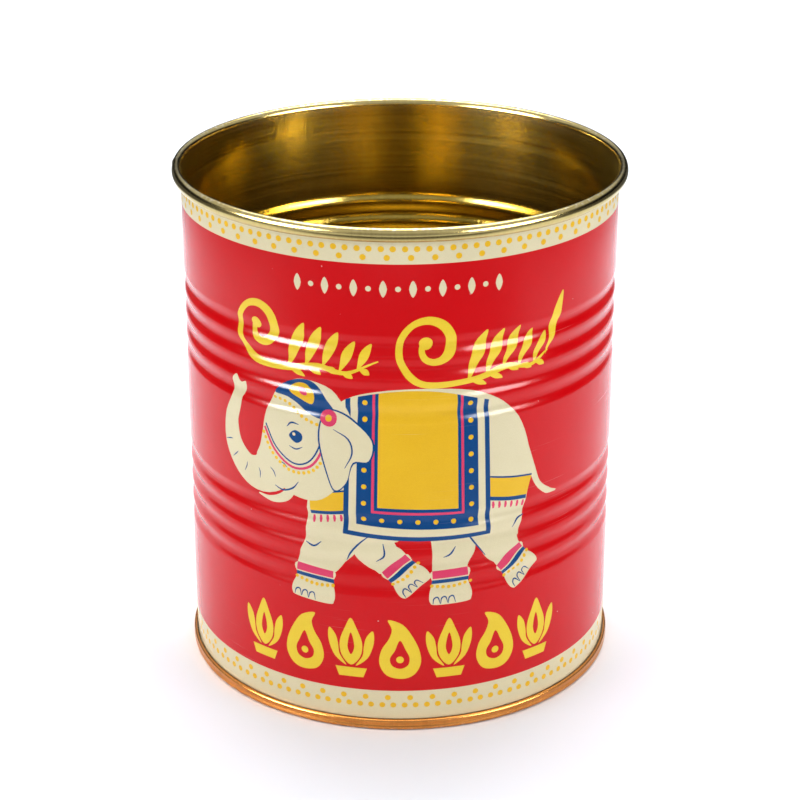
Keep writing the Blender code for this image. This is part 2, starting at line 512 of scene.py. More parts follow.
inks = {
    "red": {"color": (0.68, 0.0014, 0.0045), "shadow": (0.60, 0.0009, 0.0030), "slot": "printed_tinplate"},
    "cream": {"color": (0.83, 0.735, 0.48), "shadow": (0.74, 0.64, 0.38), "slot": "cream_ink"},
    "yellow": {"color": (0.90, 0.54, 0.022), "shadow": (0.80, 0.43, 0.012), "slot": "yellow_ink"},
    "lemon": {"color": (0.93, 0.67, 0.045), "shadow": (0.85, 0.57, 0.030), "slot": "yellow_ink"},
    "blue": {"color": (0.0012, 0.066, 0.235), "shadow": (0.0008, 0.047, 0.180), "slot": "blue_ink"},
    "pink": {"color": (0.80, 0.060, 0.155), "shadow": (0.70, 0.040, 0.115), "slot": "pink_ink"},
}
inkGloss = {"gloss": 0.16, "specular": 0.20, "coat": 0.05, "coatRoughness": 0.05, "bump": 0.000006}
for inkName, ink in inks.items():
    ink["finish"] = makeFinish(
        inkName + "Ink", printGroup,
        {"Ink": (*ink["color"], 1.0), "Shadow Ink": (*ink["shadow"], 1.0), "Gloss": inkGloss["gloss"]},
        inkGloss["bump"], {"Specular IOR Level": inkGloss["specular"], "Coat Weight": inkGloss["coat"],
                           "Coat Roughness": inkGloss["coatRoughness"]})

metals = {
    "goldLacquer": {"Tint": (0.56, 0.43, 0.12, 1.0), "Deep Tint": (0.40, 0.29, 0.05, 1.0), "Roughness": 0.18,
                    "Wear": 0.5, "Wear From": tinTop - 0.0009, "Wear To": tinTop,
                    "Rim Paleness": 0.14, "Rim From": tinTop - 0.0042, "Rim To": tinTop - 0.0034},
    "bareTinplate": {"Tint": (0.62, 0.60, 0.56, 1.0), "Deep Tint": (0.46, 0.44, 0.41, 1.0),
                     "Roughness": 0.28, "Wear": 0.0},
    "copperLacquer": {"Tint": (0.68, 0.28, 0.07, 1.0), "Deep Tint": (0.46, 0.17, 0.035, 1.0),
                      "Roughness": 0.22, "Wear": 0.6, "Wear From": 0.0009, "Wear To": 0.0001},
}
metalBump = {"goldLacquer": 0.000010, "bareTinplate": 0.000012, "copperLacquer": 0.000010}
goldLacquer, bareTinplate, copperLacquer = (
    makeFinish(name, lacquerGroup, values, metalBump[name], {"Metallic": 1.0})
    for name, values in metals.items())
print("finishes made")

# the wall: flange, beaded wall and curled rim
wall = {
    "flangeHeight": 0.0016,
    "flangeBend": 0.00035,
    "flangeSteps": 6,
    "rimFreeEdge": -120,       # degrees round the curl
    "curlSteps": 30,
    "lapStep": 0.00018,
    "lapWidth": 0.0011,
}
turnTree = makeTurnTree()
wallHeights = beadHeights(tin["lowerBeads"]) + beadHeights(tin["upperBeads"])
flangeRadii = (wall["flangeBend"], wall["flangeBend"])
curlRadii = ((tin["rimWidth"] - tin["sheet"]) / 2, (tin["rimHeight"] - tin["sheet"]) / 2)
middle = [Vector((seamRadius - tin["sheet"] - tin["clearance"], wall["flangeHeight"]))]
middle += arc((wallMiddle + wall["flangeBend"], wall["flangeHeight"] + wall["flangeBend"]), flangeRadii,
              270, 180, wall["flangeSteps"])
middle += [Vector((wallMiddle - beadInset(h), h)) for h in wallHeights]
middle += arc((wallMiddle + curlRadii[0], tinTop - halfSheet - curlRadii[1]), curlRadii,
              180, wall["rimFreeEdge"], wall["curlSteps"])
tinWall = turnSheet("tin_wall", middle, True, {
    "Turn Steps": tin["turnSteps"], "Lap Step": wall["lapStep"], "Lap Width": wall["lapWidth"],
    "Inside Finish": goldLacquer, "Outside Finish": bareTinplate})
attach(tinWall, "root")
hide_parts("body_shell")
print("wall turned:", len(tinWall.data.polygons), "faces")

# the base: pressed panel, countersink and the fold round the wall's flange
base = {
    "panelHeight": 0.0034,
    "ringRise": 0.0006,
    "rings": ((0.0340, 0.0280), (0.0500, 0.0440)),   # outer and inner radius of each raised ring
    "ringSlope": 0.0010,
    "slopeSteps": 8,
    "countersinkHeight": 0.0046,
    "countersinkBend": 0.0007,
    "chuckTaper": 0.0003,
    "seamHeight": 0.0030,
    "seamBend": 0.0005,
    "lipReach": 0.00035,
    "bendSteps": 7,
    "waist": 0.00020,          # shallow groove that the closing roll leaves round the seam
    "waistSteps": 10,
}


def ringSlope(foot, shoulder):
    # one soft slope of a raised ring, from the middle of the base outwards
    steps = base["slopeSteps"]
    slope = [Vector((foot + (shoulder - foot) * i / steps,
                     base["panelHeight"] + base["ringRise"] * ease(math.pi * i / steps)))
             for i in range(steps + 1)]
    return slope if foot < shoulder else slope[::-1]


def basePanel(chuckR):
    # from the middle of the base to the foot of the chuck wall
    points = [Vector((0.0, base["panelHeight"]))]
    for outer, inner in base["rings"]:
        points += ringSlope(inner - base["ringSlope"], inner) + ringSlope(outer + base["ringSlope"], outer)
    bend = base["countersinkBend"]
    sinkR = chuckR - base["chuckTaper"] - bend
    points.append(Vector((sinkR - bend, base["panelHeight"])))
    sink = (sinkR, base["countersinkHeight"] - bend)
    return points + arc(sink, (bend, bend), 180, 0, 2 * base["bendSteps"])


def baseFold(chuckR):
    # under the wall's flange, up round it and in over it
    bend, steps = (base["seamBend"], base["seamBend"]), base["bendSteps"]
    bandR = seamRadius - halfSheet
    foldR, foldTop = bandR - base["seamBend"], base["seamHeight"] - halfSheet
    low, high = halfSheet + base["seamBend"], foldTop - base["seamBend"]
    points = arc((chuckR + base["seamBend"], low), bend, 180, 270, steps)
    points += arc((foldR, low), bend, 270, 360, steps)
    count = base["waistSteps"]
    points += [Vector((bandR - base["waist"] * ease(math.tau * k / count), low + (high - low) * k / count))
               for k in range(1, count)]
    points += arc((foldR, high), bend, 0, 90, steps)
    return points + [Vector((bodyRadius + base["lipReach"], foldTop))]


chuckRadius = bodyRadius - tin["sheet"] - tin["clearance"] - halfSheet
tinBase = turnSheet("tin_base", basePanel(chuckRadius) + baseFold(chuckRadius), False, {
    "Turn Steps": tin["turnSteps"], "Inside Finish": goldLacquer, "Outside Finish": copperLacquer})
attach(tinBase, "root")
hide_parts("base_end")
print("base turned:", len(tinBase.data.polygons), "faces")

# the printed picture, drawn on the flat sheet in mm: along from the middle of the front, and height
picture = {
    "halfWidth": 60.0,         # each of the two panels, front and back
    "redLow": 11.7,
    "redHigh": 134.6,
    "creamLow": 3.0,
    "creamHigh": 140.9,
    "columns": 60,
    "finestLine": 0.08,
    "inkTop": 0.00005,         # the film stands this far off the wall
    "inkBottom": -0.00003,
    "bareStrip": 0.0050,       # unprinted sheet left for the side seam
    "cutTolerance": 1e-4,
}
shapes = []                    # (ink, outline) in painting order


def paint(ink, outline):
    outline = [tuple(p) for p in outline]
    area = sum(a[0] * b[1] - b[0] * a[1] for a, b in zip(outline, outline[1:] + outline[:1]))
    shapes.append((ink, outline if area > 0 else outline[::-1]))


def smooth(points, closed=True, detail=5):
    # a curve through the points
    count = len(points)
    line = []
    for i in range(count if closed else count - 1):
        p0, p1, p2, p3 = (Vector(points[(i + k) % count]) for k in (-1, 0, 1, 2))
        if not closed and i == 0:
            p0 = p1 * 2 - p2
        if not closed and i == count - 2:
            p3 = p2 * 2 - p1
        for k in range(detail):
            t = k / detail
            line.append(0.5 * (2 * p1 + (p2 - p0) * t + (2 * p0 - 5 * p1 + 4 * p2 - p3) * t ** 2
                               + (3 * p1 - p0 - 3 * p2 + p3) * t ** 3))
    if not closed:
        line.append(Vector(points[-1]))
    return line


def paintLoop(ink, points, detail=5):
    paint(ink, smooth(points, True, detail))


def paintDisc(ink, center, radius, sides=12):
    turns = [math.tau * i / sides for i in range(sides)]
    paint(ink, [(center[0] + radius * math.cos(t), center[1] + radius * math.sin(t)) for t in turns])


def paintStroke(ink, points, widths, detail=5):
    # a brush stroke whose width runs through the given widths
    line = smooth(points, False, detail)
    last = len(line) - 1
    cuts = []
    for i, p in enumerate(line):
        along = (line[min(i + 1, last)] - line[max(i - 1, 0)]).normalized()
        across = Vector((-along.y, along.x))
        at = i / last * (len(widths) - 1)
        k = min(int(at), len(widths) - 2)
        half = 0.5 * max(picture["finestLine"], widths[k] + (widths[k + 1] - widths[k]) * (at - k))
        cuts.append((p + across * half, p - across * half))
    for first, second in zip(cuts, cuts[1:]):
        corners = [first[0], second[0], second[1], first[1]]
        hull = geometry.convex_hull_2d(corners)
        if len(hull) > 2:
            paint(ink, [corners[i] for i in hull])


def placed(points, center, angle=0.0, size=1.0, flip=1.0):
    c, s = math.cos(math.radians(angle)), math.sin(math.radians(angle))
    return [(center[0] + flip * size * (c * x - s * y), center[1] + size * (s * x + c * y))
            for x, y in points]


elephant = {
    "outline": 0.5,            # width of the blue drawn lines
    "fineOutline": 0.4,
    "beadRadius": 0.52,
    "beadSpacing": 1.55,
    "toes": 3,
    "toeSpacing": 2.1,
}


def beadsAlong(points):
    # round yellow beads at even steps along a line
    line = smooth(points, False, 12)
    left = elephant["beadSpacing"] / 2
    for a, b in zip(line, line[1:]):
        length = (b - a).length
        while left <= length:
            paintDisc("yellow", a.lerp(b, left / length), elephant["beadRadius"], 10)
            left += elephant["beadSpacing"]
        left -= length


def drawnLine(points, width=elephant["outline"]):
    paintStroke("blue", points, [width * 0.35, width, width, width * 0.35], 4)


def paintLeg(leg, widths, sole, angle, width):
    # a leg down to its ankle, then the foot with pink and blue anklets, a row of beads and three toes
    def at(points):
        return placed(points, sole, angle)
    half = width / 2
    paintStroke("cream", list(leg) + at([(0.1, 9.0), (0.0, 4.0)]), list(widths) + [width, width], 6)
    paintLoop("cream", at([(-half, 8.0), (-half, 4.4), (-half - 1.0, 1.2), (-half - 0.9, -1.2),
                           (-half + 0.8, -2.1), (half - 0.6, -2.1), (half + 0.8, -1.0), (half + 0.9, 1.4),
                           (half, 4.4), (half, 8.0)]))
    paint("pink", at([(-half, 5.7), (half, 5.7), (half, 8.0), (-half, 8.0)]))
    paint("blue", at([(-half - 0.3, 4.0), (half + 0.3, 4.0), (half + 0.1, 5.3), (-half - 0.1, 5.3)]))
    beadsAlong(at([(-half - 0.9, 3.5), (0, 2.7), (half + 0.9, 3.5)]))
    for k in range(elephant["toes"]):
        toe = -half + 0.9 + elephant["toeSpacing"] * k
        drawnLine(at([(toe - 1.0, -1.8), (toe - 0.7, -0.2), (toe + 0.4, 0.1), (toe + 1.0, -1.9)]),
                  elephant["fineOutline"])


def legBand(corners, tassels):
    # a yellow cuff with blue borders and a pink fringe
    topLeft, topRight, lowRight, lowLeft = (Vector(c) for c in corners)
    paint("yellow", (topLeft, topRight, lowRight, lowLeft))
    drop = (lowLeft - topLeft).normalized()
    for left, right, width in ((topLeft, topRight, 0.5), (lowLeft, lowRight, 1.1)):
        paintStroke("blue", [left, (left + right) / 2 + drop * 0.25, right], [width, width], 3)
    for k in range(tassels):
        top = lowLeft.lerp(lowRight, (k + 0.5) / tassels) + drop * 0.9
        paintStroke("pink", [top, top + drop * 1.1, top + drop * 2.1], [0.55, 0.85, 0.5], 2)


def paintBody():
    # tail and the two far legs
    paintStroke("cream", [(34.6, 80), (37.2, 74), (39.6, 68.4), (43.2, 65.2), (46.6, 64.2)],
                [3.2, 2.2, 1.7, 1.9, 0.5])
    paintLeg([(-4.6, 68), (-7.0, 56.4), (-3.8, 51.6)], [17, 12.6, 9.0], (3.6, 44.6), 42, 8.4)
    paintLeg([(15.0, 68), (14.6, 55.6)], [19, 12.4], (13.8, 40.0), 2, 9.8)
    drawnLine([(-6.4, 50.8), (-4.2, 52.8), (-4.6, 56.0)])
    drawnLine([(11.6, 51.8), (13.4, 52.6), (15.0, 54.6)])
    # body, then the near legs over it
    paintLoop("cream", [(-16, 96), (-6, 99.6), (8, 100.4), (22, 98.2), (31.4, 91.4), (36.0, 81), (36.6, 70),
                        (33, 62), (20, 57.8), (4, 57.2), (-10, 58.4), (-20, 63), (-24.4, 73), (-22, 86)])
    paintLeg([(-14.6, 74), (-16.6, 62), (-20.6, 52.6)], [20, 18.4, 12.6], (-24.0, 39.4), -5, 10.6)
    paintLeg([(27.4, 76), (26.4, 62.6), (28.0, 54.0)], [20, 18.0, 12.0], (35.2, 43.4), 38, 8.8)
    drawnLine([(-14.4, 50.6), (-12.6, 54.0), (-7.6, 59.0)])
    drawnLine([(17.0, 60.6), (19.2, 56.6), (23.6, 50.6)])
    drawnLine([(-26.0, 54.4), (-23.6, 53.6), (-21.6, 55.0)])
    drawnLine([(35.0, 60.4), (32.8, 59.6), (31.6, 57.2)])
    legBand([(-24.6, 69.6), (-13.0, 71.4), (-13.0, 65.2), (-24.5, 63.4)], 6)
    legBand([(24.0, 73.8), (37.4, 71.6), (35.6, 65.6), (24.4, 67.4)], 6)


cloth = {
    "width": 38.5,
    "drop": 39.5,
    "borders": (("blue", 0.0), ("cream", 1.35), ("blue", 3.3), ("pink", 7.2), ("blue", 7.9), ("yellow", 8.8)),
    "dotBorder": 5.25,         # from the cloth's edges to its dots
    "dotRadius": 0.72,
    "dotsDown": 8,
    "firstDot": 0.045,         # shares of the drop
    "dotStep": 0.118,
    "dotsAcross": 5,
}


def clothAt(across, down):
    # a place on the hanging cloth, from its front edge and from its top, as shares
    side = -14.2 - 1.1 * down + (37.9 + 2.3 * down) * across
    top = 97.4 + 3.2 * math.sin(math.pi * across) - 1.4 * across
    low = 58.6 - 1.8 * across - 0.9 * math.sin(math.pi * across)
    return (side, top + (low - top) * down)


def paintCloth():
    # borders follow the three free sides, the top runs over the back
    for ink, border in cloth["borders"]:
        left, right, low = border / cloth["width"], 1 - border / cloth["width"], 1 - border / cloth["drop"]
        rim = [clothAt(left + (right - left) * k / 8, 0.0) for k in range(9)]
        rim += [clothAt(right, low * k / 3) for k in range(1, 4)]
        rim += [clothAt(right + (left - right) * k / 8, low) for k in range(1, 9)]
        rim += [clothAt(left, low * k / 3) for k in (2, 1)]
        paint(ink, rim)
    edge = cloth["dotBorder"] / cloth["width"]
    levels = [cloth["firstDot"] + cloth["dotStep"] * k for k in range(cloth["dotsDown"])]
    dots = [(across, level) for level in levels for across in (edge, 1 - edge)]
    columns = cloth["dotsAcross"] + 1
    dots += [(edge + (1 - 2 * edge) * k / columns, levels[-1]) for k in range(1, columns)]
    for across, level in dots:
        paintDisc("yellow", clothAt(across, level), cloth["dotRadius"])


def paintHead():
    # head, raised trunk and tusk
    paintStroke("cream", [(-31, 83), (-34.0, 76.2), (-39.2, 71.4), (-45.2, 71.8), (-50.0, 77.0),
                          (-50.8, 84.0), (-48.6, 90.2), (-47.6, 95.8)],
                [16, 14, 11.0, 8.6, 7.2, 5.4, 4.0, 3.6])
    paintLoop("cream", [(-50.2, 95.4), (-48.4, 97.6), (-46.6, 95.8), (-44.6, 96.4), (-45.2, 93.6), (-47, 91),
                        (-49.6, 91.6)])
    paintLoop("cream", [(-25, 101.2), (-31, 99.4), (-35.6, 94.4), (-38.4, 87), (-38.6, 79), (-35, 71.6),
                        (-29, 67.4), (-21, 67.8), (-14, 76), (-12, 88), (-16.6, 98)])
    paintStroke("cream", [(-29.4, 70.4), (-31.8, 66.6), (-36.4, 64.6), (-40.8, 65.2)], [3.0, 2.8, 2.0, 0.4])
    drawnLine([(-27.8, 71.6), (-29.6, 69.4), (-32.6, 68.2), (-35.2, 69.0)])
    bend = Vector((-41.8, 80.2))
    for k in range(6):         # creases across the trunk, round its bend
        turn = math.radians(196 + 27 * k)
        root = bend + Vector((math.cos(turn) * 12.2, math.sin(turn) * 10.6))
        tip = bend + Vector((math.cos(turn) * 9.2, math.sin(turn) * 7.6))
        drawnLine([root, (root + tip) / 2 + Vector((0.3, 0.2)), tip], 0.32)
    # cap, cheek strap and rosette
    paintLoop("blue", [(-34.4, 96.2), (-30.4, 95.4), (-24.6, 91.8), (-18.4, 90.6), (-17.6, 93.4), (-21, 98.6),
                       (-25, 101.2), (-31, 99.6)])
    paintLoop("yellow", [(-30.2, 97.6), (-27.2, 95.8), (-23.8, 94.4), (-22.8, 97.2), (-25.4, 99.8),
                         (-28.4, 99.6)])
    paintLoop("pink", [(-27.8, 98.6), (-26.4, 97.0), (-24.9, 97.0), (-25.6, 98.6)])
    beadsAlong([(-35.6, 94.6), (-31, 93.6), (-25.4, 90.2), (-19.4, 88.4)])
    paintStroke("pink", [(-38.2, 85.4), (-35.0, 79.4), (-29.6, 75.6), (-24.2, 76.8), (-20.8, 82),
                         (-19.4, 89)], [0.7, 0.7])
    paintStroke("blue", [(-37.8, 86.4), (-34.6, 80.4), (-29.4, 76.8), (-24.8, 77.9), (-21.7, 82.6),
                         (-20.4, 89)], [0.45, 0.45])
    beadsAlong([(-38.9, 84.4), (-35.8, 78.4), (-30, 74.4), (-23.6, 75.6), (-19.8, 81.2), (-18.3, 88)])
    # ear: its outline first, the ear over it
    ear = [(-18.6, 93.4), (-12.6, 91.4), (-7.4, 86.0), (-8.2, 80.2), (-12.4, 79.4), (-14.2, 73.6),
           (-17.4, 71.0), (-19.6, 76.4), (-21.4, 84.4), (-20.8, 90.4)]
    center = Vector((-14.6, 83.4))
    paintLoop("blue", [Vector(p) + (Vector(p) - center).normalized() * elephant["outline"] for p in ear])
    paintLoop("cream", ear)
    drawnLine([(-17.6, 88.4), (-13.6, 86.0), (-12.6, 82.0), (-14.6, 77.6)], 0.45)
    paintDisc("pink", (-18.9, 91.3), 2.3, 18)
    paintDisc("yellow", (-18.9, 91.3), 0.9)
    # eye
    paintLoop("blue", [(-30.4, 84.6), (-28.6, 86.4), (-26.6, 85.6), (-26.6, 83.8), (-28.4, 82.8)])
    paintDisc("cream", (-28.9, 85.2), 0.5, 8)
    drawnLine([(-31.0, 87.0), (-29.6, 88.4), (-27.4, 88.2)])
    drawnLine([(-30.4, 81.6), (-28.4, 81.0), (-26.4, 81.9)], elephant["fineOutline"])


scroll = {
    "turns": 1.35,             # of the spiral each scroll starts with
    "steps": 14,
    "eye": 0.17,               # its eye and its breadth, as shares of its size
    "breadth": 0.92,
    "stemWidths": [1.6, 1.6, 2.1, 2.9, 2.6, 1.7, 1.9, 2.0, 1.5, 0.4],
    "leaves": 5,
    "leafSlant": 63.0,
    "leafTurn": 1.5,           # how much less each leaf slants than the last
    "leafStep": 1.4,           # how much shorter it is
    "leafTaper": 0.07,         # how much narrower, as a share
    "leafGap": 4.7,
    "leafWidth": 4.6,
    "leafCurve": 0.10,
    "budSlant": -28.0,         # a small leaf grows under each large one
    "budLength": 0.36,
    "budWidth": 2.2,
}


def leaf(root, angle, length, width):
    half = [(0.0, 0.04), (0.30, 0.34), (0.58, 0.5), (0.84, 0.30), (1.0, 0.0)]
    curve = scroll["leafCurve"] * length
    outline = [(x * length, y * width + curve * x * x) for x, y in half]
    outline += [(x * length, -y * width * 0.5 + curve * x * x) for x, y in half[-2::-1]]
    paintLoop("lemon", placed(outline, root, angle), 3)


def paintScroll(center, size, stem, firstLeaf):
    # a spiral that unwinds into a waving stem, with a plume of slanted leaves that get smaller
    path = []
    for k in range(scroll["steps"] + 1):
        t = k / scroll["steps"]
        turn = math.radians(-90 - 360 * scroll["turns"] * (1 - t))
        reach = size * (scroll["eye"] + (1 - scroll["eye"]) * t)
        across = scroll["breadth"] * reach * math.cos(turn)
        path.append((center[0] + across, center[1] + reach * math.sin(turn)))
    paintStroke("lemon", path + stem, scroll["stemWidths"], 6)
    paintDisc("lemon", path[0], scroll["eye"] * size, 16)
    line = smooth([path[-1]] + stem, False, 12)
    for k in range(scroll["leaves"]):
        length = firstLeaf - scroll["leafStep"] * k
        along = center[0] + scroll["breadth"] * size + 0.4 + scroll["leafGap"] * k
        root = min(line, key=lambda p: abs(p.x - along))
        leaf(root, scroll["leafSlant"] - scroll["leafTurn"] * k, length,
             scroll["leafWidth"] * (1 - scroll["leafTaper"] * k))
        leaf(root + Vector((0.5, 0.2)), scroll["budSlant"], length * scroll["budLength"], scroll["budWidth"])


ornament = {
    "height": 18.0,
    "drawnHeight": 18.0,       # the outlines below are drawn this high
    "middle": 24.5,
    "spacing": 13.4,
    "count": 7,
}


def paintPaisley(center, flip):
    size = ornament["height"] / ornament["drawnHeight"]
    drop = [(-0.6, -9.0), (3.6, -8.0), (5.6, -4.4), (5.0, -0.2), (3.0, 3.2), (2.2, 6.2), (3.2, 9.0),
            (-0.8, 7.6), (-3.6, 3.6), (-5.4, -0.8), (-5.6, -4.6), (-3.8, -7.8)]
    heart = [(0.0, -5.9), (2.2, -4.9), (2.7, -2.7), (1.4, -0.4), (0.0, 2.8), (-1.6, -0.2), (-2.6, -2.6),
             (-2.1, -4.9)]
    paintLoop("lemon", placed(drop, center, 0, size, flip), 4)
    paintLoop("red", placed(heart, center, 0, size, flip), 4)
    paintDisc("lemon", (center[0], center[1] - 3.1 * size), 1.05 * size, 14)


def paintLotus(center):
    size = ornament["height"] / ornament["drawnHeight"]
    foot = [(-3.4, -9.0), (3.4, -9.0), (4.4, -6.2), (-4.4, -6.2)]
    petal = [(0.0, -5.4), (2.6, -2.6), (3.1, 1.6), (1.6, 6.0), (0.0, 9.0), (-1.6, 6.0), (-3.1, 1.6),
             (-2.6, -2.6)]
    sidePetal = [(1.3, -5.6), (4.6, -3.0), (6.3, 1.6), (6.1, 5.4), (4.3, 3.4), (3.6, 0.6), (3.2, -2.4)]
    heart = [(0, -2.2), (0.95, 0.4), (0, 4.6), (-0.95, 0.4)]
    paint("lemon", placed(foot, center, 0, size))
    paintLoop("lemon", placed(petal, center, 0, size), 4)
    for flip in (1.0, -1.0):
        paintLoop("lemon", placed(sidePetal, center, 0, size, flip), 4)
    paintLoop("red", placed(heart, center, 0, size), 4)


marks = {                      # the row of lozenges and dots
    "count": 15,
    "from": -27.0,
    "to": 26.0,
    "low": 125.7,
    "high": 130.3,
    "halfWidth": 1.0,
    "dotRadius": 0.75,
}


def paintMarks():
    step = (marks["to"] - marks["from"]) / (marks["count"] - 1)
    level = (marks["low"] + marks["high"]) / 2
    tall = (marks["high"] - marks["low"]) / 2
    wide = marks["halfWidth"]
    for k in range(marks["count"]):
        x = marks["from"] + step * k
        if k % 2:
            paintDisc("cream", (x, level), marks["dotRadius"])
        else:
            lozenge = [(x, level - tall), (x + wide, level), (x, level + tall), (x - wide, level)]
            paintLoop("cream", lozenge, 3)


def paintOrnaments():
    middleOne = (ornament["count"] - 1) / 2
    for k in range(ornament["count"]):
        center = ((k - middleOne) * ornament["spacing"], ornament["middle"])
        if k % 2:
            paintPaisley(center, 1.0 if k < middleOne else -1.0)
        else:
            paintLotus(center)


paintMarks()
paintScroll((-39.2, 113.2), 9.4, [(-30.5, 103.9), (-22.0, 105.4), (-14.0, 104.4), (-5.6, 108.2)], 14.0)
paintScroll((8.0, 112.0), 10.6, [(19.5, 102.2), (28.5, 104.4), (36.0, 103.4), (42.4, 106.0)], 14.6)
leaf((41.8, 105.4), 66.0, 17.0, 4.2)
paintBody()
paintCloth()
paintHead()
paintOrnaments()
rowHeights = [picture["redLow"]] + [h / mm for h in wallHeights] + [picture["redHigh"]]
columnStep = 2 * picture["halfWidth"] / picture["columns"]


def splitPanel():
    # cut the panel into triangles along every outline, the wall's rows and upright lines; the last ink wins
    low, high, half = picture["redLow"], picture["redHigh"], picture["halfWidth"]
    points = [Vector(p) for p in ((-half, low), (half, low), (half, high), (-half, high))]
    edges, faces, owners = [], [[0, 1, 2, 3]], ["red"]
    columns = [-half + 2 * half * k / picture["columns"] for k in range(picture["columns"] + 1)]
    lines = [((x, low), (x, high)) for x in columns] + [((-half, h), (half, h)) for h in rowHeights]
    for ends in lines:
        edges.append((len(points), len(points) + 1))
        points += [Vector(p) for p in ends]
    for ink, outline in shapes:
        faces.append(list(range(len(points), len(points) + len(outline))))
        owners.append(ink)
        points += [Vector(p) for p in outline]
    cut = geometry.delaunay_2d_cdt(points, edges, faces, 1, picture["cutTolerance"])
    corners, triangles, origins = cut[0], cut[2], cut[5]
    pieces = {ink: [] for ink in inks}
    for triangle, origin in zip(triangles, origins):
        if origin:
            pieces[owners[max(origin)]].append([tuple(corners[i]) for i in triangle])
    return pieces


def gridFaces(left, right, low, high, heights):
    # plain printed sheet between two places, with the wall's rows in it
    count = max(1, round((right - left) / columnStep))
    levels = [low] + [h for h in heights if low < h < high] + [high]
    faces = []
    for k in range(count):
        a = left + (right - left) * k / count
        b = left + (right - left) * (k + 1) / count
        for c, d in zip(levels, levels[1:]):
            faces.append([(a, c), (b, c), (b, d), (a, d)])
    return faces


def inkPlate(ink, faces):
    # a thin closed film of one ink, drawn flat and then rolled onto the wall
    plate = bmesh.new()
    for outline in faces:
        plate.faces.new([plate.verts.new((x * mm, picture["inkBottom"], z * mm)) for x, z in outline])
    bmesh.ops.remove_doubles(plate, verts=plate.verts, dist=2 * tiny)
    bmesh.ops.dissolve_degenerate(plate, dist=tiny, edges=plate.edges)
    grown = bmesh.ops.extrude_face_region(plate, geom=plate.faces[:], use_keep_orig=True)
    for part in grown["geom"]:
        if isinstance(part, bmesh.types.BMVert):
            part.co.y = picture["inkTop"]
    bmesh.ops.recalc_face_normals(plate, faces=plate.faces)
    piece = newPiece(ink + "_print", [])
    plate.to_mesh(piece.data)
    plate.free()
    runTree(piece, rollTree, {"Ink": inks[ink]["finish"]})
    smoothOnWall(piece.data)
    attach(piece, "root")
    return piece


def smoothOnWall(mesh):
    # the films shade as the wall they lie on, so that no seam shows between inks
    mesh.shade_smooth()
    normals = []
    for face in mesh.polygons:
        outward = Vector((face.center.x, face.center.y, 0)).normalized()
        facing = face.normal.dot(outward)
        for index in face.loop_indices:
            place = mesh.vertices[mesh.loops[index].vertex_index].co
            wallNormal = Vector((place.x, place.y, 0)).normalized() + Vector((0, 0, beadSlope(place.z)))
            wallNormal.normalize()
            # front of the film, back of it, or its cut edge
            normals.append(wallNormal if facing > 0.5 else -wallNormal if facing < -0.5 else face.normal)
    mesh.normals_split_custom_set(normals)


rollTree = makeRollTree()
panel = splitPanel()
print("picture cut:", len(shapes), "shapes,", sum(len(f) for f in panel.values()), "faces")
halfTurn = roundArc / 2 / mm
sheetLeft = (seamArc + picture["bareStrip"] / 2) / mm
sheetRight = (seamArc + roundArc - picture["bareStrip"] / 2) / mm
half = picture["halfWidth"]
plates = {}
for ink, faces in panel.items():      # the same picture on the front and on the back
    plates[ink] = faces + [[(x + halfTurn, z) for x, z in face] for face in faces]
for left, right in ((sheetLeft, -half), (half, halfTurn - half), (halfTurn + half, sheetRight)):
    plates["red"] += gridFaces(left, right, picture["redLow"], picture["redHigh"], rowHeights)
plates["cream"] += gridFaces(sheetLeft, sheetRight, picture["creamLow"], picture["redLow"], [])
plates["cream"] += gridFaces(sheetLeft, sheetRight, picture["redHigh"], picture["creamHigh"], [])
for ink, faces in plates.items():
    film = inkPlate(ink, faces)
    print(film.name, len(film.data.polygons), "faces")

# dotted borders on the cream bands
border = {
    "repeats": 61,
    "pairGap": 0.0030,
    "dotRadius": 0.00082,
    "topPair": 0.13865,
    "topSingle": 0.13635,
    "basePair": 0.0073,
    "baseSingle": 0.0096,
    "lift": 0.000055,
    "thickness": 0.00004,
}
dotTree = makeDotTree(rollTree)
spacing = (roundArc - picture["bareStrip"]) / border["repeats"]
for name, pair, single in (("upper_dots", "topPair", "topSingle"), ("lower_dots", "basePair", "baseSingle")):
    dots = newPiece(name, [])
    runTree(dots, dotTree, {
        "Repeats": border["repeats"], "Start": sheetLeft * mm + spacing / 2, "Spacing": spacing,
        "Pair Gap": border["pairGap"], "Pair Height": border[pair], "Single Height": border[single],
        "Dot Radius": border["dotRadius"], "Thickness": border["thickness"], "Lift": border["lift"],
        "Ink": inks["yellow"]["finish"]})
    smoothOnWall(dots.data)
    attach(dots, "root")
print("borders printed")

# the sealing ring stays as it is, with a rubbery finish
rubber = {"Ink": (0.30, 0.30, 0.28, 1.0), "Shadow Ink": (0.20, 0.20, 0.19, 1.0), "Gloss": 0.75,
          "Mottling": 0.7, "Scuffs": 0.0}
rubberBump = 0.00004
compound = makeFinish("sealingCompound", printGroup, rubber, rubberBump, {})
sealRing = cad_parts["seam_compound"]
if not sealRing.material_slots:
    sealRing.data.materials.append(compound)
for slot in sealRing.material_slots:
    slot.material = compound

